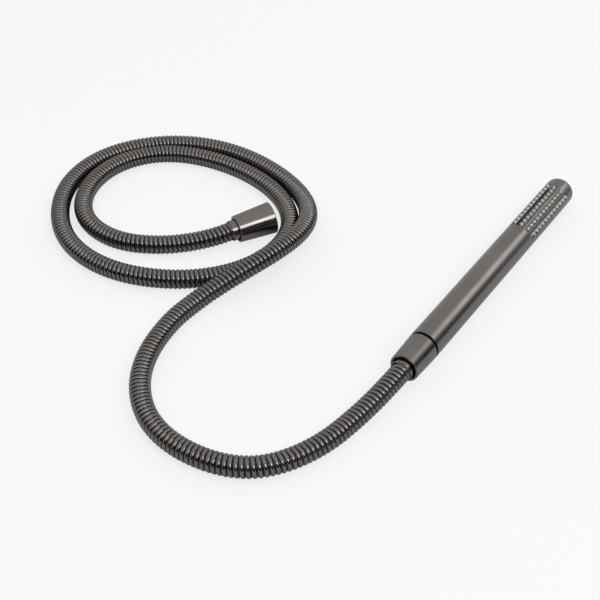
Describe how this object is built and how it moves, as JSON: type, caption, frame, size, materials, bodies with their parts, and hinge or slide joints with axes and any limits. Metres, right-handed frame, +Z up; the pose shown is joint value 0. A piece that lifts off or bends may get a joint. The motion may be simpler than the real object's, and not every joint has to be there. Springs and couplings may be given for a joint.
{
  "type": "handheld bath sprayer",
  "caption": "Slim stick-shaped hand shower with rows of silicone jets, an interlocked metal hose and a cone nut at each end.",
  "frame": {"origin": "on the ground under the middle of the handset, which runs from its cone nut's mouth to its tip; the hose and the pieces on it are left out", "axes": "+Z up, +Y along the handset from the hose towards the spray tip, +X to the right of it"},
  "size_m": [0.393, 0.43, 0.0286],
  "materials": {
    "gunmetal": "satin gunmetal coating on brass",
    "hose_metal": "gunmetal coating on interlocked steel strip",
    "dark_metal": "dark coating on brass",
    "silicone": "translucent white silicone",
    "core_plastic": "natural acetal",
    "black_rubber": "matt",
    "blue_plastic": "moulded",
    "nylon": "natural nylon",
    "brass": "turned",
    "steel": "perforated sheet"
  },
  "bodies": {
    "hose_line": {"hose": "hose_metal", "handset_tail": "brass", "handset_slip_ring": "nylon", "handset_washer": "black_rubber", "handset_liner_end": "nylon", "handset_ferrule": "gunmetal", "wall_tail": "brass", "wall_slip_ring": "nylon", "wall_washer": "black_rubber", "wall_liner_end": "nylon", "wall_ferrule": "gunmetal", "inlet_screen": "steel"},
    "handset": {"handset_shell": "gunmetal", "nozzle_strip_1": "silicone", "nozzle_strip_2": "silicone", "nozzle_strip_3": "silicone", "nozzle_strip_4": "silicone", "spray_core": "core_plastic", "core_o_ring": "black_rubber", "supply_tube": "core_plastic", "end_plug": "dark_metal", "plug_o_ring": "black_rubber", "pipe_o_ring": "black_rubber", "flow_restrictor": "blue_plastic", "handset_nut": "gunmetal"},
    "wall_nut": {"wall_nut": "gunmetal"}
  },
  "joints": [
    {"name": "handset_swivel", "type": "hinge", "parent": "hose_line", "child": "handset", "pos_m": [0, -0.11, 0.0125], "axis": [0, 1, 0], "continuous": true},
    {"name": "wall_nut_spin", "type": "hinge", "parent": "hose_line", "child": "wall_nut", "pos_m": [-0.19149, -0.05483, 0.01275], "axis": [0.5005, 0.8634, 0.0635], "continuous": true}
  ]
}
